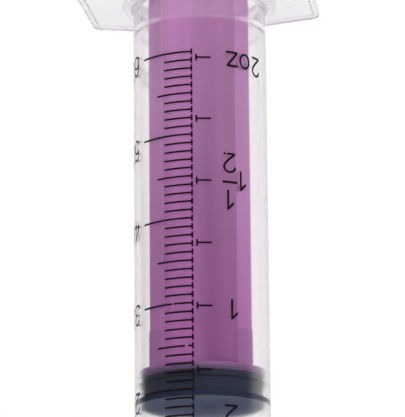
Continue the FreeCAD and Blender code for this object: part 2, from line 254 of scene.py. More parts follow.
class Shader:
    """The node tree of a material or a world, written line by line."""

    def __init__(self, owner):
        self.owner = owner
        owner.use_nodes = True
        self.tree = owner.node_tree
        self.tree.nodes.clear()

    def node(self, kind, inputs=None, **options):
        """Adds a node, sets its options, then fills its sockets with values or links."""
        node = self.tree.nodes.new("ShaderNode" + kind)
        for option, value in options.items():
            setattr(node, option, value)
        for socket, value in (inputs or {}).items():
            self.fill(node.inputs[socket], value)
        return node

    def fill(self, socket, value):
        """Links a socket or a Value, or sets a plain number or colour."""
        if isinstance(value, Value):
            value = value.socket
        if isinstance(value, bpy.types.NodeSocket):
            self.tree.links.new(value, socket)
        elif socket.type == "RGBA":
            socket.default_value = (*value, 1)
        else:
            socket.default_value = value

    def maths(self, operation, first, second):
        return self.value(self.node("Math", {0: first, 1: second}, operation=operation))

    def value(self, node, output=0):
        return Value(self, node.outputs[output])

    def place(self):
        """The point on the piece, in metres."""
        return self.node("TexCoord").outputs["Object"]

    def split(self, vector):
        """The three measures of a vector."""
        node = self.node("SeparateXYZ", {0: vector})
        return tuple(self.value(node, axis) for axis in "XYZ")

    def reach_and_height(self, place):
        """How far a point is from the axis, and how high."""
        across, deep, up = self.split(place)
        return (across * across + deep * deep) ** 0.5, up

    def noise(self, vector, scale, detail, along=1.0):
        """Noise from 0 to 1 with a number of grains to the metre, times a part along the axis."""
        if along != 1.0:
            vector = self.output_of("Mapping", {"Vector": vector, "Scale": (1, 1, along)})
        return self.value(self.node("TexNoise", {"Vector": vector, "Scale": scale, "Detail": detail}))

    def ranged(self, value, low, high, new_low=0.0, new_high=1.0):
        """Maps low to high smoothly onto new_low to new_high."""
        inputs = {"Value": value, 1: low, 2: high, 3: new_low, 4: new_high}
        return self.value(self.node("MapRange", inputs, interpolation_type="SMOOTHSTEP"))

    def blend(self, factor, first, second):
        """A mix of two colours."""
        return self.node("Mix", {"Factor": factor, 6: first, 7: second}, data_type="RGBA").outputs[2]

    def bump(self, height, strength, distance):
        return self.output_of("Bump", {"Height": height, "Strength": strength, "Distance": distance})

    def output_of(self, kind, inputs):
        """The first output of a new node."""
        return self.node(kind, inputs).outputs[0]

    def mix(self, factor, first, second):
        """A mix of two shaders."""
        return self.output_of("MixShader", {0: factor, 1: first, 2: second})

    def finish(self, surface):
        """Gives the tree its output, and returns the material or world."""
        kind = "World" if isinstance(self.owner, bpy.types.World) else "Material"
        self.node("Output" + kind, {"Surface": surface})
        return self.owner


def tinted(tint, factor):
    """A colour made paler or darker."""
    return tuple(channel * factor for channel in tint)


def settings(group):
    """The scene's settings for a piece, the colours or the stage."""
    return getattr(bpy.context.scene, "syringe_" + group)


def bore_radius():
    return BARREL_R - settings("barrel").wall


def from_flange(setback):
    """A height that is measured from the flange's upper side."""
    barrel = settings("barrel")
    return barrel.mouth + barrel.flange_thick + setback


def rays_seen(s):
    """One for what the camera sees straight or through clear plastic, and one for what it sees mirrored once.

    Light that has met a matt surface is neither. Light thrown about inside the plastic counts as seen.
    """
    path = s.node("LightPath")
    through = s.maths("MAXIMUM", s.value(path, "Is Camera Ray"), s.value(path, "Is Transmission Ray"))
    looking = s.maths("MAXIMUM", through, s.value(path, "Is Glossy Ray"))
    direct = looking * (1.0 - s.maths("MINIMUM", s.value(path, "Diffuse Depth"), 1.0))
    turns = s.value(path, "Glossy Depth")
    once = s.maths("MINIMUM", turns, 1.0) * (2.0 - s.maths("MINIMUM", turns, 2.0))
    return direct * (1.0 - once), direct * once


def clear_plastic():
    """Clear polypropylene: bends light like the real wall, with long flow lines and a faint milky cast.

    It is milkier where it is thick, at the flange and the mouth, and where the eye meets it at a slant.
    """
    sizes = settings("barrel")
    colours = settings("colours")
    s = Shader(bpy.data.materials.new("Clear Polypropylene"))
    place = s.place()
    reach, up = s.reach_and_height(place)
    above_crest = up - from_flange(sizes.bead_setback)
    fillet_end = BARREL_R + sizes.fillet
    thick = s.ranged(reach, BARREL_R + 0.2 * MM, BARREL_R + 1.2 * MM)
    mouth = s.ranged(above_crest, 0.9 * MM, 0.0)
    foot = s.ranged(reach, BARREL_R + 0.1 * MM, BARREL_R + 0.6 * MM)
    foot = foot * s.ranged(reach, fillet_end + 0.8 * MM, fillet_end)
    bead = s.ranged(above_crest * above_crest, (0.8 * MM) ** 2, (0.1 * MM) ** 2)
    flow = s.noise(place, 900, 2, along=0.04)
    grain = s.noise(place, 2600, 2)
    facing = s.value(s.node("LayerWeight", {"Blend": 0.5}), "Facing")
    slant = s.ranged(facing, 0.58, 0.72)
    bead_sides = bead * s.ranged(facing, 0.18, 0.32)
    cloud = s.ranged(flow, 0.3, 0.7, 0.002, 0.005)
    for milky, amount in ((slant, 0.05), (thick, 0.14), (mouth, 0.04), (foot, 0.55), (bead_sides, 0.16)):
        cloud = cloud + milky * amount
    glass = s.output_of("BsdfPrincipled", {
        "Base Color": colours.clear[:],
        "Roughness": 0.14,
        "IOR": 1.49,
        "Transmission Weight": 1.0,
        "Normal": s.bump(flow + grain * 0.3, 0.08, 0.03 * MM),
    })
    milk = s.output_of("BsdfPrincipled", {
        "Base Color": s.blend(s.maths("MAXIMUM", thick, bead), colours.haze[:], colours.flange[:]),
        "Roughness": 0.35,
    })
    shade = s.output_of("BsdfTransparent", {"Color": colours.shade[:]})
    in_shadow = s.node("LightPath").outputs["Is Shadow Ray"]
    return s.finish(s.mix(in_shadow, s.mix(cloud, glass, milk), shade))


def purple_plastic(seat):
    """Moulded purple plastic: satin, with faint flow marks, and painted shade with a painted reflection of the
    dark rubber on the head disc's edge, where the disc meets the rubber.
    """
    colours = settings("colours")
    s = Shader(bpy.data.materials.new("Purple Plastic"))
    place = s.place()
    reach, up = s.reach_and_height(place)
    bore = bore_radius()
    # Painted shade and a painted reflection of the dark rubber on the head disc's edge, strongest next to the
    # rubber.
    edge = s.ranged(reach, bore - 0.4 * MM, bore - 0.2 * MM)
    painted_rim_shade = edge * s.ranged(up, seat - 1.8 * MM, seat - 0.2 * MM, 0.3, 1.0)
    flow = s.noise(place, 260, 3, along=0.12)
    grain = s.noise(place, 3500, 2)
    purple = s.blend(s.ranged(flow, 0.3, 0.7), tinted(colours.purple, 0.93), tinted(colours.purple, 1.06))
    return s.finish(s.output_of("BsdfPrincipled", {
        "Base Color": s.blend(painted_rim_shade, purple, colours.painted_rim_shade[:]),
        "Roughness": s.ranged(grain, 0.2, 0.8, 0.36, 0.5),
        "Specular IOR Level": 0.4,
        "Normal": s.bump(grain + flow, 0.2, 0.04 * MM),
    }))


def dark_rubber():
    """Moulded rubber: matt and blue-grey. Its front face is paler as painted light, and paler still towards its
    edge as a painted sheen; where the rings press on the bore, the thin ring that wipes it is darkest as
    painted shade, and the thick ring is painted paler.
    """
    colours = settings("colours")
    s = Shader(bpy.data.materials.new("Dark Rubber"))
    place = s.place()
    reach, up = s.reach_and_height(place)
    grain = s.noise(place, 2200, 3)
    bore = bore_radius()
    front = STOPPER_REAR + settings("stopper").body
    # Painted shade and light where the rings press on the bore: the thin ring is darkened, and the thick ring
    # made paler.
    contact_light_and_shade = s.ranged(reach, bore - 0.4 * MM, bore - 0.15 * MM)
    thin_ring_shade = s.ranged(up, STOPPER_REAR + 2.6 * MM, STOPPER_REAR + 2.2 * MM)
    rubber = colours.rubber
    rings = s.blend(thin_ring_shade, tinted(rubber, 1.35), tinted(rubber, 0.3))
    side = s.blend(contact_light_and_shade, s.blend(grain, rubber[:], tinted(rubber, 1.25)), rings)
    # Painted light: the front face is paler than the rubber, and paler still towards its edge as a painted
    # sheen.
    outer_face_sheen = tuple(channel + 0.045 for channel in colours.face)
    face = s.blend(s.ranged(reach, 6.0 * MM, 13.0 * MM), colours.face[:], outer_face_sheen)
    return s.finish(s.output_of("BsdfPrincipled", {
        "Base Color": s.blend(s.ranged(up, front - 0.08 * MM, front - 0.01 * MM), side, face),
        "Roughness": s.ranged(grain, 0.2, 0.8, 0.55, 0.75),
        "Specular IOR Level": 0.05,
        "Normal": s.bump(grain, 0.25, 0.05 * MM),
    }))


def black_ink():
    """Printing ink: black, with the slightly uneven gloss of a pad print."""
    ink = settings("colours").ink
    s = Shader(bpy.data.materials.new("Black Ink"))
    grain = s.noise(s.place(), 4200, 2)
    return s.finish(s.output_of("BsdfPrincipled", {
        "Base Color": s.blend(grain, ink[:], tinted(ink, 3)),
        "Roughness": s.ranged(grain, 0.2, 0.8, 0.4, 0.6),
        "Specular IOR Level": 0.1,
    }))


def deselect():
    if bpy.context.object and bpy.context.object.mode != "OBJECT":
        bpy.ops.object.mode_set(mode="OBJECT")
    bpy.ops.object.select_all(action="DESELECT")


def select_only(piece):
    deselect()
    piece.select_set(True)
    bpy.context.view_layer.objects.active = piece


@contextlib.contextmanager
def editing(piece):
    """Edit mode on one piece, with all of it selected."""
    select_only(piece)
    bpy.ops.object.mode_set(mode="EDIT")
    bpy.ops.mesh.select_all(action="SELECT")
    yield
    bpy.ops.object.mode_set(mode="OBJECT")


def face_outwards():
    """Turns all faces of the mesh that is edited outwards."""
    bpy.ops.mesh.select_all(action="SELECT")
    bpy.ops.mesh.normals_make_consistent(inside=False)


def extrude(rise):
    """Extrudes what is selected upwards."""
    bpy.ops.mesh.extrude_region_move(TRANSFORM_OT_translate={"value": (0, 0, rise)})


def pick(piece, kind, wanted):
    """Selects the vertices, edges or faces of the piece that pass a test."""
    bpy.ops.mesh.select_mode(type=kind)
    bpy.ops.mesh.select_all(action="DESELECT")
    mesh = bmesh.from_edit_mesh(piece.data)
    parts = {"VERT": mesh.verts, "EDGE": mesh.edges, "FACE": mesh.faces}[kind]
    found = [part for part in parts if wanted(part)]
    if not found:
        raise RuntimeError("nothing to select on " + piece.name)
    for part in found:
        part.select_set(True)
    mesh.select_flush_mode()
    bmesh.update_edit_mesh(piece.data)


def settle(piece):
    """Applies the piece's place, turn and scale to its mesh."""
    select_only(piece)
    bpy.ops.object.transform_apply(location=True, rotation=True, scale=True)


def modify(piece, kind, **options):
    """Adds a modifier, sets it and applies it."""
    select_only(piece)
    bpy.ops.object.modifier_add(type=kind)
    modifier = piece.modifiers[-1]
    for option, value in options.items():
        setattr(modifier, option, value)
    bpy.ops.object.modifier_apply(modifier=modifier.name)


def combine(piece, other, operation):
    """Joins the other piece to the first, or cuts it away, and removes it."""
    modify(piece, "BOOLEAN", operation=operation, solver="EXACT", object=other)
    bpy.data.objects.remove(other)


def oval(middle, across, high, start, end, steps=28):
    """Points along part of an oval, with angles in degrees."""
    made = []
    for step in range(steps + 1):
        turn = math.radians(start + (end - start) * step / steps)
        made.append((middle[0] + across * math.cos(turn), middle[1] + high * math.sin(turn)))
    return made


def arc(middle, radius, start, end, steps=ARC_STEPS):
    """Profile points (radius, height) along an arc, with angles in degrees from the outward direction."""
    return oval(middle, radius, radius, start, end, steps)


def turned(name, profile, steps=ROUND_STEPS):
    """A closed round piece: each profile point (radius, height) is a ring extruded from the one before."""
    deselect()
    radius, height = profile[0]
    place = (0, 0, height)
    bpy.ops.mesh.primitive_circle_add(vertices=steps, radius=radius, location=place, fill_type="NGON")
    piece = bpy.context.object
    piece.name = name
    settle(piece)
    with editing(piece):
        for next_radius, next_height in profile[1:]:
            extrude(next_height - height)
            grow = next_radius / radius
            bpy.ops.transform.resize(value=(grow, grow, 1), center_override=(0, 0, next_height))
            radius, height = next_radius, next_height
        face_outwards()
    return piece


def dress(piece, material, body, node=None):
    """Gives a finished piece its material, its body and the solid that it stands for."""
    piece.data.materials.clear()
    piece.data.materials.append(material)
    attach(piece, body)
    if node:
        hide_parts(node)


def finish_solid(piece, material, node):
    """Smooth over gentle curves, with flat faces kept flat, and dressed in the place of a solid."""
    select_only(piece)
    bpy.ops.object.shade_smooth_by_angle(angle=SHARP_ANGLE)
    modify(piece, "WEIGHTED_NORMAL", keep_sharp=True, weight=80)
    dress(piece, material, node, node)


def flange_plate(sizes):
    """The finger flange: four corner posts and a round middle wrapped in a plate, with a rim on one side."""
    half = sizes.flange_length / 2
    middle = sizes.flange_middle / 2
    reach = math.hypot(half, sizes.flange_end / 2)
    touch = math.atan2(sizes.flange_end / 2, half) + math.acos(middle / reach)
    corner = sizes.flange_corner
    post_x = half - corner
    post_y = (middle - corner - post_x * math.cos(touch)) / math.sin(touch)
    centre_z = sizes.mouth + sizes.flange_thick / 2
    corners = [(x, y, corner) for x in (-post_x, post_x) for y in (-post_y, post_y)]
    deselect()
    posts = []
    for x, y, radius in [(0, 0, middle)] + corners:
        bpy.ops.mesh.primitive_cylinder_add(
            vertices=FINE_STEPS, radius=radius, depth=sizes.flange_thick, location=(x, y, centre_z))
        posts.append(bpy.context.object)
    plate = posts[-1]
    plate.name = "flange"
    for post in posts:
        post.select_set(True)
    bpy.ops.object.join()
    settle(plate)
    with editing(plate):
        bpy.ops.mesh.convex_hull()
        bpy.ops.mesh.select_all(action="SELECT")
        bpy.ops.mesh.dissolve_limited(angle_limit=math.radians(0.5))
        pick(plate, "FACE", lambda face: face.normal.z < -0.9)
        bpy.ops.mesh.inset(thickness=sizes.rim_width)
        extrude(sizes.rim_depth)

        def turns_level(edge):
            level = [abs(face.normal.z) > 0.5 for face in edge.link_faces]
            return len(level) == 2 and level[0] != level[1]

        pick(plate, "EDGE", turns_level)
        bpy.ops.mesh.bevel(offset=sizes.edge, segments=EDGE_STEPS, affect="EDGES")
        face_outwards()
    return plate


def thread_lug(sizes, turn):
    """One thread lug: its section drawn on a plane and wound up the nozzle, sunk a little into it."""
    root = sizes.nozzle / 2 - SUNK
    crest = sizes.nozzle / 2 + sizes.lug_height
    rise = sizes.lug_pitch * sizes.lug_turn
    low = sizes.tip - sizes.lug_setback - rise - sizes.lug_root / 2
    deselect()
    bpy.ops.mesh.primitive_plane_add(size=1, rotation=(math.pi / 2, 0, 0))
    lug = bpy.context.object
    lug.name = "lug"
    lug.scale = (crest - root, sizes.lug_root, 1)
    lug.location = ((root + crest) / 2, 0, low)
    settle(lug)
    with editing(lug):
        pick(lug, "VERT", lambda vert: abs(vert.co.x - crest) < SAME)
        narrow = sizes.lug_crest / sizes.lug_root
        bpy.ops.transform.resize(value=(1, 1, narrow), center_override=(crest, 0, low))
        bpy.ops.mesh.select_all(action="SELECT")
        bpy.ops.mesh.delete(type="ONLY_FACE")
    sweep = 2 * math.pi * sizes.lug_turn
    modify(lug, "SCREW", angle=sweep, screw_offset=rise, steps=LUG_STEPS, render_steps=LUG_STEPS)
    with editing(lug):
        bpy.ops.mesh.remove_doubles(threshold=SAME)
        bpy.ops.mesh.fill_holes(sides=0)
        face_outwards()
    lug.rotation_euler = (0, 0, turn)
    settle(lug)
    return lug


def shoulder_edge(sizes):
    """The height at which the sloping end meets the tube's outside."""
    rise = (BARREL_R - sizes.base / 2) * math.tan(sizes.shoulder_slope)
    return sizes.tip - sizes.nozzle_length - sizes.base_height - rise


def barrel_outside(sizes):
    """The barrel's outer form, solid, from the mouth to the nozzle's tip."""
    top = sizes.mouth + sizes.flange_thick
    edge = shoulder_edge(sizes)
    base = sizes.base / 2
    nozzle = sizes.nozzle / 2
    base_high = sizes.tip - sizes.nozzle_length
    turn = 90 - math.degrees(sizes.shoulder_slope)
    tangent = sizes.shoulder_round * math.tan(math.radians(turn) / 2)
    small = sizes.nozzle_edge
    collar = BARREL_R + sizes.collar
    foot = BARREL_R + sizes.fillet
    profile = [(collar - small / 2, sizes.mouth), (collar, sizes.mouth + small / 2)]
    profile += [(collar, top - sizes.rim_depth), (foot, top - sizes.rim_depth)]
    profile += arc((foot, top + sizes.fillet), sizes.fillet, 270, 180, 10)
    profile += arc((BARREL_R - sizes.shoulder_round, edge - tangent), sizes.shoulder_round, 0, turn, 10)
    profile += [(base, base_high - sizes.base_height)]
    profile += arc((base - small, base_high - small), small, 0, 90)
    profile += arc((nozzle + small, base_high + small), small, 270, 180)
    profile += arc((nozzle - small, sizes.tip - small), small, 0, 90)
    return turned("Barrel", profile)


def bend_of(half, rise):
    """Radius and half angle, in degrees, of a shallow arc from half its width and its height."""
    radius = (half ** 2 + rise ** 2) / (2 * rise)
    return radius, math.degrees(math.asin(half / radius))


def barrel_inside(sizes):
    """The space inside the barrel: lead, bead, bore, sloping end, outlet and socket."""
    bore = bore_radius()
    outlet = sizes.outlet / 2
    slope = math.tan(sizes.shoulder_slope)
    end = shoulder_edge(sizes) - sizes.shoulder_wall + sizes.wall * slope
    bend, sweep = bend_of(sizes.bead_width / 2, sizes.bead_height)
    bead_middle = (bore - sizes.bead_height + bend, from_flange(sizes.bead_setback))
    floor = sizes.tip - sizes.socket_depth
    small = sizes.nozzle_edge
    profile = [(bore + sizes.lead, sizes.mouth - SPARE), (bore + sizes.lead, sizes.mouth)]
    profile += [(bore, sizes.mouth + 2 * sizes.lead)]
    profile += arc(bead_middle, bend, 180 + sweep, 180 - sweep, LONG_ARC_STEPS)
    profile += [(bore, end), (outlet, end + (bore - outlet) * slope)]
    profile += [(outlet, floor), (SOCKET_R, floor), (SOCKET_R, sizes.tip - small)]
    profile += [(SOCKET_R + small, sizes.tip), (SOCKET_R + small, sizes.tip + SPARE)]
    return turned("inside", profile)


def thumb_rest(sizes):
    """The round thumb rest with its raised grip rings, the widest of which is its edge."""
    edge = sizes.thumb / 2
    foot = sizes.foot_round
    soft = sizes.thumb_round
    half = sizes.ring_width / 2
    high = sizes.ring_height
    ease = sizes.ring_ease
    profile = []
    for ring in range(3):
        middle = (sizes.ring_first + ring * sizes.ring_step) / 2
        profile += [(middle - half, high), (middle - half + ease, 0)]
        if ring < 2:
            profile += [(middle + half - ease, 0), (middle + half, high)]
    profile += arc((edge - foot, foot), foot, 270, 360)
    profile += arc((edge - soft, sizes.thumb_thick - soft), soft, 0, 90)
    return turned("Plunger", profile)


def rod_head(sizes, seat, knob_low):
    """Disc, neck and knob, with rounded edges."""
    disc = bore_radius() - sizes.disc_gap
    neck = sizes.neck / 2
    knob = sizes.knob / 2
    soft = sizes.disc_round
    profile = arc((disc - soft, seat - sizes.disc + soft), soft, 270, 360)
    profile += arc((disc - soft, seat - soft), soft, 0, 90)
    profile += [(neck, seat), (neck, knob_low), (knob, knob_low)]
    top = knob_low + sizes.knob_thick
    profile += arc((knob - sizes.knob_round, top - sizes.knob_round), sizes.knob_round, 0, 90)
    return turned("head", profile)


def rib_tip(reach, half, soft):
    """Points (along the rib, half its width) round a rib's edge and on to the middle of its curved tip."""
    centre_y = half - soft
    centre_x = math.sqrt((reach - soft) ** 2 - centre_y ** 2)
    meet = math.atan2(centre_y, centre_x)
    points = [(centre_x, half)] + oval((centre_x, centre_y), soft, soft, 90, math.degrees(meet), 5)[1:]
    for part_left in (0.7, 0.4, 0.1):
        points.append((reach * math.cos(meet * part_left), reach * math.sin(meet * part_left)))
    return points


def rib_cross(sizes, low, high):
    """Four ribs drawn out of a square core, with rounded roots and tips, and wider at the upper end."""
    half = sizes.rib / 2
    tip = rib_tip(bore_radius() - sizes.rib_gap, half, sizes.rib_tip)
    step = high - sizes.guide
    deselect()
    bpy.ops.mesh.primitive_cube_add(size=1, location=(0, 0, (low + step) / 2))
    cross = bpy.context.object
    cross.name = "ribs"
    cross.scale = (sizes.rib, sizes.rib, step - low)
    settle(cross)
    with editing(cross):
        for axis in (0, 1):
            along, wide = half, half
            for next_along, next_wide in tip:

                def is_end(face):
                    centre = face.calc_center_median()
                    return abs(centre[axis]) > along - SAME and abs(centre[1 - axis]) < SAME

                pick(cross, "FACE", is_end)
                bpy.ops.mesh.extrude_faces_move(TRANSFORM_OT_shrink_fatten={"value": next_along - along})
                narrow = [1, 1, 1]
                narrow[1 - axis] = next_wide / wide
                bpy.ops.transform.resize(value=narrow, center_override=(0, 0, step))
                along, wide = next_along, next_wide

        def is_root(edge):
            first, second = (vert.co.xy for vert in edge.verts)
            return (first - second).length < SAME and abs(first.length - half * math.sqrt(2)) < SAME

        pick(cross, "EDGE", is_root)
        bpy.ops.mesh.bevel(offset=sizes.rib_root, segments=ROOT_STEPS, affect="EDGES")
        top = step + sizes.guide_step
        pick(cross, "FACE", lambda face: face.normal.z > 0.5)
        extrude(top - step)
        for axis, way in ((0, 1), (0, -1), (1, 1), (1, -1)):
            pick(cross, "VERT", lambda v: v.co.z > top - SAME and v.co[axis] * way > tip[0][0] - SAME)
            out = [0, 0, 0]
            out[axis] = way * (sizes.rib_gap - sizes.guide_gap)
            bpy.ops.transform.translate(value=out)
        pick(cross, "FACE", lambda face: face.calc_center_median().z > top - SAME)
        extrude(high - top)
        face_outwards()
    cross.rotation_euler = (0, 0, sizes.rib_turn)
    settle(cross)
    return cross


class SYRINGE_OT_barrel(bpy.types.Operator):
    """Turn the clear barrel and join its finger flange and thread lugs"""

    bl_idname = "syringe.barrel"
    bl_label = "Barrel"

    def execute(self, context):
        sizes = settings("barrel")
        barrel = barrel_outside(sizes)
        combine(barrel, flange_plate(sizes), "UNION")
        for turn in (0, math.pi):
            combine(barrel, thread_lug(sizes, turn), "UNION")
        combine(barrel, barrel_inside(sizes), "DIFFERENCE")
        finish_solid(barrel, clear_plastic(), "barrel")
        return {"FINISHED"}


class SYRINGE_OT_plunger(bpy.types.Operator):
    """Model the purple plunger rod from thumb rest to knob"""

    bl_idname = "syringe.plunger"
    bl_label = "Plunger"

    def execute(self, context):
        sizes = settings("plunger")
        stopper = settings("stopper")
        seat = STOPPER_REAR - stopper.fit
        knob_low = STOPPER_REAR + stopper.lip + stopper.fit
        plunger = thumb_rest(sizes)
        combine(plunger, rib_cross(sizes, sizes.thumb_thick - SUNK, seat - sizes.disc + SUNK), "UNION")
        combine(plunger, rod_head(sizes, seat, knob_low), "UNION")
        finish_solid(plunger, purple_plastic(seat), "plunger")
        return {"FINISHED"}


class SYRINGE_OT_stopper(bpy.types.Operator):
    """Turn the rubber stopper with its two rings and its pocket"""

    bl_idname = "syringe.stopper"
    bl_label = "Stopper"

    def execute(self, context):
        sizes = settings("stopper")
        stopper = self.rings(sizes)
        combine(stopper, self.pip(sizes), "UNION")
        combine(stopper, self.pocket(sizes, settings("plunger")), "DIFFERENCE")
        finish_solid(stopper, dark_rubber(), "stopper")
        return {"FINISHED"}

    def rings(self, sizes):
        """The thin ring is half a wave of the cosine, and the thick one has round shoulders."""
        front = STOPPER_REAR + sizes.body
        seal = bore_radius() + sizes.squeeze
        waist = bore_radius() - sizes.waist
        lift = seal - waist
        soft = sizes.front_round
        crest = STOPPER_REAR + sizes.rear_ring
        profile = arc((waist - soft, STOPPER_REAR + soft), soft, 270, 360)
        for step in range(-ARC_STEPS, ARC_STEPS + 1):
            part = step / ARC_STEPS
            swell = math.cos(part * math.pi / 2) ** 2
            profile.append((waist + lift * swell, crest + sizes.rear_width / 2 * part))
        thick_rear = STOPPER_REAR + sizes.front_ring - sizes.front_width / 2
        profile += [(waist, thick_rear - lift / 2)]
        profile += arc((seal - soft, thick_rear + soft), soft, 300, 360)
        profile += arc((seal - soft, front - soft), soft, 0, 80)
        profile += [(seal - 4 * soft, front)]
        return turned("Stopper", profile)

    def pip(self, sizes):
        """The low dome on the front face."""
        front = STOPPER_REAR + sizes.body
        half = sizes.pip / 2
        bend, sweep = bend_of(half, sizes.pip_height)
        dome = arc((0, front + sizes.pip_height - bend), bend, 90 - sweep, 90, LONG_ARC_STEPS)[:-1]
        pip = turned("pip", [(half, front - 2 * sizes.front_round)] + dome, FINE_STEPS)
        away, turn = sizes.pip_offset, sizes.pip_turn
        pip.location = (away * math.cos(turn), away * math.sin(turn), 0)
        settle(pip)
        return pip

    def pocket(self, sizes, rod):
        """The space for the rod's neck and knob."""
        neck = rod.neck / 2 + sizes.fit
        knob = rod.knob / 2 + sizes.fit
        low = STOPPER_REAR + sizes.lip
        high = low + rod.knob_thick + 2 * sizes.fit
        return turned("pocket", [(neck, STOPPER_REAR - SPARE), (neck, low), (knob, low), (knob, high)])


def line(*points):
    """A straight stroke through its corners, with enough points between them to bend round the barrel."""
    made = [points[0]]
    for start, end in zip(points, points[1:]):
        parts = max(1, math.ceil(math.dist(start, end) / STROKE_STEP))
        for part in range(1, parts + 1):
            made.append(tuple(a + (b - a) * part / parts for a, b in zip(start, end)))
    return made


def swing(start, pull, end, steps=14):
    """A curved stroke from start to end that is drawn towards a third point."""
    made = []
    for step in range(steps + 1):
        t = step / steps
        first, second, third = (1 - t) ** 2, 2 * t * (1 - t), t * t
        made.append(tuple(first * a + second * b + third * c for a, b, c in zip(start, pull, end)))
    return made


# Each figure is drawn in a box one wide and one high, as strokes of points. A stroke whose ends meet is a ring.
# The worn two has lost some ink at its foot.
ROUND = [oval((0.5, 0.5), 0.5, 0.5, 90, 450)]
TWO_TOP = oval((0.5, 0.71), 0.48, 0.29, 168, -22) + swing((0.93, 0.57), (0.78, 0.40), (0.02, 0.0))
FIGURES = {
    "0": ROUND,
    "2": [TWO_TOP + [(0.98, 0.0)]],
    "worn 2": [TWO_TOP + [(0.66, 0.0)], [(0.93, 0.0), (0.96, 0.0)]],
    "3": [oval((0.46, 0.745), 0.44, 0.255, 160, -90) + oval((0.46, 0.25), 0.5, 0.25, 90, -160)],
    "4": [[(0.74, 0.0), (0.74, 1.0), (0.0, 0.28), (1.0, 0.28)]],
    "5": [[(0.9, 1.0), (0.2, 1.0), (0.1, 0.54)] + oval((0.47, 0.325), 0.5, 0.325, 128, -152)],
    "6": [oval((0.5, 0.31), 0.5, 0.31, 90, 450), oval((0.5, 0.6), 0.5, 0.4, 25, 180) + [(0.0, 0.31)]],
    "o": ROUND,
    "c": [oval((0.55, 0.5), 0.55, 0.5, 48, 312)],
    "z": [[(0.04, 1.0), (0.96, 1.0), (0.0, 0.0), (1.0, 0.0)]],
}


class Scale:
    """Printed strokes, set out flat: along the barrel's girth, and up its height."""

    def __init__(self, stroke):
        self.stroke = stroke
        self.strokes = []

    def girth(self, degrees):
        return math.radians(degrees) * BARREL_R

    def bar(self, start, end, height):
        """A line round the barrel between two directions in degrees."""
        inset = self.stroke / 2
        left, right = sorted((self.girth(start), self.girth(end)))
        self.strokes.append(line((left + inset, height), (right - inset, height)))

    def upright(self, degrees, middle, size):
        """A line along the barrel."""
        across = self.girth(degrees)
        half = (size - self.stroke) / 2
        self.strokes.append(line((across, middle - half), (across, middle + half)))

    def figure(self, name, place, foot, size):
        """A figure between two directions in degrees, standing on a height."""
        inset = self.stroke / 2
        left, right = self.girth(place[0]) + inset, self.girth(place[1]) - inset
        low, high = foot + inset, foot + size - inset
        if name == "1":
            self.strokes += [line((right, low), (right, high)), line((left, high - FLAG_DROP), (right, high))]
            return
        for stroke in FIGURES[name]:
            corners = [(left + x * (right - left), low + y * (high - low)) for x, y in stroke]
            self.strokes.append(line(*corners))

    def print(self, name):
        """Makes the strokes a mesh of flat rounded lines and wraps it round the barrel."""
        half = self.stroke / 2
        sizes = settings("print")
        deselect()
        bpy.ops.object.add(type="CURVE")
        piece = bpy.context.object
        piece.name = name
        curve = piece.data
        curve.dimensions = "3D"
        curve.bevel_depth = half
        curve.bevel_resolution = 1
        curve.use_fill_caps = True
        for stroke in self.strokes:
            self.add_spline(curve, stroke, half)
        bpy.ops.object.convert(target="MESH")
        for vert in piece.data.vertices:
            along, up, proud = vert.co
            turn = sizes.front + (along + sizes.lean * up) / BARREL_R
            reach = BARREL_R + sizes.ink * proud / half
            vert.co = (reach * math.cos(turn), reach * math.sin(turn), up)
        piece.data.shade_smooth()
        with editing(piece):
            face_outwards()
        ink = bpy.data.materials.get("Black Ink") or black_ink()
        dress(piece, ink, "barrel")

    def add_spline(self, curve, stroke, half):
        """One stroke with round ends, or a ring without ends."""
        ring = math.dist(stroke[0], stroke[-1]) < SAME
        points = [(x, y, 1.0) for x, y in (stroke[:-1] if ring else stroke)]
        if not ring:
            first = self.round_end(points[0], points[1], half)[::-1]
            points = first + points + self.round_end(points[-1], points[-2], half)
        spline = curve.splines.new("POLY")
        spline.points.add(len(points) - 1)
        for place, (x, y, swell) in zip(spline.points, points):
            place.co = (x, y, 0, 1)
            place.radius = swell
        spline.use_cyclic_u = ring

    def round_end(self, end, inner, half):
        """Points past a stroke's end that draw its width in to a half circle."""
        size = math.dist(end[:2], inner[:2])
        out = [(a - b) / size for a, b in zip(end[:2], inner[:2])]
        made = []
        for degrees in (30, 55, 75, 87):
            turn = math.radians(degrees)
            reach = half * math.sin(turn)
            made.append((end[0] + out[0] * reach, end[1] + out[1] * reach, math.cos(turn)))
        return made


def full_mark():
    """The height of the 60 mL mark."""
    return from_flange(settings("print").full_setback)


def millilitre():
    """The height of one millilitre in the bore."""
    return 1e-6 / (math.pi * bore_radius() ** 2)


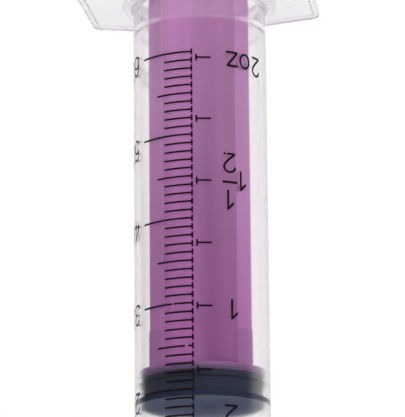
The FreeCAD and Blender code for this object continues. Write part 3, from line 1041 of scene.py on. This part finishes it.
class SYRINGE_OT_millilitres(bpy.types.Operator):
    """Print the millilitre scale: its dashed line, its marks and its figures"""

    bl_idname = "syringe.millilitres"
    bl_label = "Millilitre Scale"

    LINE_AT = 7.0  # degrees from the front, towards the left of the photo
    MARK_ENDS = {10: 56.5, 5: 39.6, 1: 32.1}
    TENS = (64.8, 78.2)
    TENS_ONE = (69.3, 76.7)  # a one is narrower
    NOUGHT = (81.0, 94.5)
    UNITS = ((103.5, 113.0), (115.5, 125.5))
    DASH = 1.45 * MM
    DROPS = {60: 0.36, 50: 0.9, 40: 0.35, 30: 0.48, 20: 1.15, 10: 0.7}  # millimetres from mark to figure
    WORN = {30: (24.0, 24.9), 25: (11.2, 13.6)}  # where two marks have lost a little ink

    def execute(self, context):
        sizes = settings("print")
        marks = Scale(sizes.line)
        figures = Scale(sizes.stroke)
        full = full_mark()
        for volume in range(61):
            height = full + (60 - volume) * millilitre()
            marks.upright(self.LINE_AT, height, self.DASH)
            step = 10 if volume % 10 == 0 else 5 if volume % 5 == 0 else 1
            ends = (self.LINE_AT, *self.WORN.get(volume, ()), self.MARK_ENDS[step])
            for start, end in zip(ends[::2], ends[1::2]):
                marks.bar(start, end, height)
            if volume in self.DROPS:
                foot = height - sizes.figure / 2 + self.DROPS[volume] * MM
                tens = self.TENS_ONE if volume == 10 else self.TENS
                figures.figure(str(volume // 10), tens, foot, sizes.figure)
                figures.figure("0", self.NOUGHT, foot, sizes.figure)
        foot = full - sizes.figure / 2 + self.DROPS[60] * MM
        for place in self.UNITS:
            figures.figure("c", place, foot, sizes.small)
        marks.print("Millilitre_Marks")
        figures.print("Millilitre_Figures")
        return {"FINISHED"}


class SYRINGE_OT_ounces(bpy.types.Operator):
    """Print the ounce scale: its marks, whole figures and fractions"""

    bl_idname = "syringe.ounces"
    bl_label = "Ounce Scale"

    OUNCE_ML = 29.64  # as printed
    LINE_AT = 3.0  # degrees from the front
    MARK_END = -9.65
    DASH = 1.6 * MM
    FRACTION_GAP = 1.8 * MM  # between the mark and the fraction's figures
    BAR_DROP = 0.13 * MM  # from the mark to the fraction's bar
    BAR = (-33.1, -18.75)
    UPPER = (-29.6, -22.95)
    LOWER = (-32.05, -19.4)
    WHOLE_BESIDE = (-42.4, -35.45)
    BESIDE_DROP = -0.41 * MM  # from the mark to the middle of the figure
    WHOLE_ALONE = (-32.6, -25.7)
    ALONE_DROP = 0.55 * MM
    TWO = (-62.4, -50.7)
    TWO_DROP = 0.45 * MM
    LETTERS = {"o": (-48.1, -36.0), "z": (-34.9, -22.8)}

    def execute(self, context):
        sizes = settings("print")
        marks = Scale(sizes.line)
        figures = Scale(sizes.bold)
        quarter = self.OUNCE_ML / 4 * millilitre()
        zero = full_mark() + 60 * millilitre()
        for count in range(1, 9):
            height = zero - count * quarter
            marks.upright(self.LINE_AT, height, self.DASH)
            marks.bar(self.MARK_END, self.LINE_AT, height)
        size = sizes.ounce_figure
        foot = zero - 8 * quarter - size / 2 + self.TWO_DROP
        figures.figure("2", self.TWO, foot, size)
        for letter, place in self.LETTERS.items():
            figures.figure(letter, place, foot, sizes.small)
        figures.figure("1", self.WHOLE_ALONE, zero - 4 * quarter - size / 2 + self.ALONE_DROP, size)
        figures.figure("1", self.WHOLE_BESIDE, zero - 6 * quarter - size / 2 + self.BESIDE_DROP, size)
        for count, lower in ((2, "2"), (6, "worn 2")):
            height = zero - count * quarter
            figures.bar(*self.BAR, height + self.BAR_DROP)
            figures.figure("1", self.UPPER, height + self.FRACTION_GAP, size)
            figures.figure(lower, self.LOWER, height - self.FRACTION_GAP - size, size)
        marks.print("Ounce_Marks")
        figures.print("Ounce_Figures")
        return {"FINISHED"}


class SYRINGE_OT_stage(bpy.types.Operator):
    """Set the camera, the lamps, the world and the floor"""

    bl_idname = "syringe.stage"
    bl_label = "Stage"

    SENSOR = 36  # the camera's, in millimetres
    FRONT = (0.1, 0.5)  # where the mirrored room turns from its dim front to white
    FLOOR_R = 8  # metres
    FADE = (0.06, 0.15)  # metres from the syringe over which the floor runs out to white
    NEAR = (0.2, 0.48)  # metres over which the mirrored floor dims
    UNEVEN = 0.2  # how much farther it dims on the left
    SUNK_FLOOR = 0.1 * MM  # clear of the thumb rest
    LAMPS = {  # place and width of each lamp, in metres
        "Key": ((-0.52, -0.37, 0.10), 0.35),
        "Fill": ((0.44, -0.47, 0.12), 0.4),
        "Back": ((0.2, 0.62, 0.14), 0.4),
    }

    def execute(self, context):
        stage = settings("stage")
        context.scene.view_settings.view_transform = "Standard"
        self.camera(context, stage)
        self.world(context, stage)
        self.floor(context, stage)
        self.lamps(context, stage)
        return {"FINISHED"}

    def camera(self, context, stage):
        """Looks at the scale from in front and a little from the nozzle's side, with the nozzle down."""
        back = Vector((0, -math.cos(stage.elevation), math.sin(stage.elevation)))
        across = Vector((1, 0, 0))
        above = across.cross(-back)
        target = Vector((stage.aside, 0, full_mark() + stage.along))
        right = math.cos(stage.roll) * across + math.sin(stage.roll) * above
        up = math.cos(stage.roll) * above - math.sin(stage.roll) * across
        pose = Matrix.Identity(4)
        for column, axis in enumerate((right, up, back, target + back * stage.distance)):
            pose.col[column][:3] = axis
        deselect()
        bpy.ops.object.camera_add()
        camera = context.object
        camera.name = "Camera"
        camera.matrix_world = Matrix.Rotation(stage.azimuth, 4, "Z") @ pose
        camera.data.lens = stage.lens
        camera.data.sensor_width = self.SENSOR
        context.scene.camera = camera

    def world(self, context, stage):
        """White for the eye, dim in front where it is mirrored, and an even light for what it lights."""
        s = Shader(bpy.data.worlds.new("Studio"))
        seen, mirrored = rays_seen(s)
        across, deep, up = s.split(s.node("TexCoord").outputs["Generated"])
        front = s.ranged(deep - across * stage.aslant, *self.FRONT, stage.front, 1.0)
        strength = seen + mirrored * front + (1.0 - seen - mirrored) * stage.sky
        white = s.output_of("Background", {"Color": (1.0, 1.0, 1.0), "Strength": strength})
        context.scene.world = s.finish(white)

    def floor(self, context, stage):
        """A wide floor that keeps the syringe's shadow near it and runs out to white."""
        deselect()
        place = (0, 0, -self.SUNK_FLOOR)
        bpy.ops.mesh.primitive_circle_add(vertices=128, radius=self.FLOOR_R, fill_type="NGON", location=place)
        floor = context.object
        floor.name = "Floor"
        s = Shader(bpy.data.materials.new("Floor"))
        across, deep, up = s.split(s.place())
        away = (across * across + deep * deep) ** 0.5
        seen, mirrored = rays_seen(s)
        white = s.ranged(away, *self.FADE) * (seen + mirrored)
        left = s.maths("MINIMUM", across, 0.0)
        near = s.ranged(away + left * self.UNEVEN, *self.NEAR, 1.0, stage.front)
        behind = s.ranged((deep - across * stage.aslant) / away, *self.FRONT)
        bright = seen + mirrored * s.maths("MAXIMUM", near, behind)
        paper = s.output_of("BsdfPrincipled", {
            "Base Color": settings("colours").floor[:],
            "Roughness": 0.8,
            "Specular IOR Level": 0.1,
        })
        glow = s.blend(bright, (0.0, 0.0, 0.0), (1.0, 1.0, 1.0))
        glow = s.output_of("Emission", {"Color": glow, "Strength": 1.0})
        floor.data.materials.append(s.finish(s.mix(white, paper, glow)))

    def lamps(self, context, stage):
        """Large square lamps that face the syringe's foot, so that their light fades towards the nozzle."""
        for name, (place, size) in self.LAMPS.items():
            deselect()
            bpy.ops.object.light_add(type="AREA", location=place)
            lamp = context.object
            lamp.name = name
            lamp.data.size = size
            lamp.data.energy = getattr(stage, name.lower())
            lamp.data.spread = stage.beam
            lamp.rotation_mode = "QUATERNION"
            lamp.rotation_quaternion = (-Vector(place)).to_track_quat("-Z", "Y")
            for seen_by in ("camera", "glossy", "transmission"):
                setattr(lamp, "visible_" + seen_by, False)


PARTS = (
    SYRINGE_OT_stage,
    SYRINGE_OT_barrel,
    SYRINGE_OT_plunger,
    SYRINGE_OT_stopper,
    SYRINGE_OT_millilitres,
    SYRINGE_OT_ounces,
)
SETTINGS = {
    "syringe_barrel": SYRINGE_PG_barrel,
    "syringe_plunger": SYRINGE_PG_plunger,
    "syringe_stopper": SYRINGE_PG_stopper,
    "syringe_print": SYRINGE_PG_print,
    "syringe_colours": SYRINGE_PG_colours,
    "syringe_stage": SYRINGE_PG_stage,
}


class SYRINGE_PT_panel(bpy.types.Panel):
    """The syringe's pieces, one button each"""

    bl_label = "Syringe"
    bl_idname = "SYRINGE_PT_panel"
    bl_space_type = "VIEW_3D"
    bl_region_type = "UI"
    bl_category = "Syringe"

    def draw(self, context):
        for part in PARTS:
            self.layout.operator(part.bl_idname)
        for name in SETTINGS:
            group = getattr(context.scene, name)
            box = self.layout.box()
            for key in group.__annotations__:
                box.prop(group, key)


def register():
    for group in SETTINGS.values():
        bpy.utils.register_class(group)
    for part in (*PARTS, SYRINGE_PT_panel):
        bpy.utils.register_class(part)
    for name, group in SETTINGS.items():
        setattr(bpy.types.Scene, name, PointerProperty(type=group))


def unregister():
    for name in SETTINGS:
        delattr(bpy.types.Scene, name)
    for part in (SYRINGE_PT_panel, *reversed(PARTS)):
        bpy.utils.unregister_class(part)
    for group in reversed(SETTINGS.values()):
        bpy.utils.unregister_class(group)


def main():
    register()
    for part in PARTS:
        group, name = part.bl_idname.split(".")
        getattr(getattr(bpy.ops, group), name)()


if __name__ == "__main__":
    main()
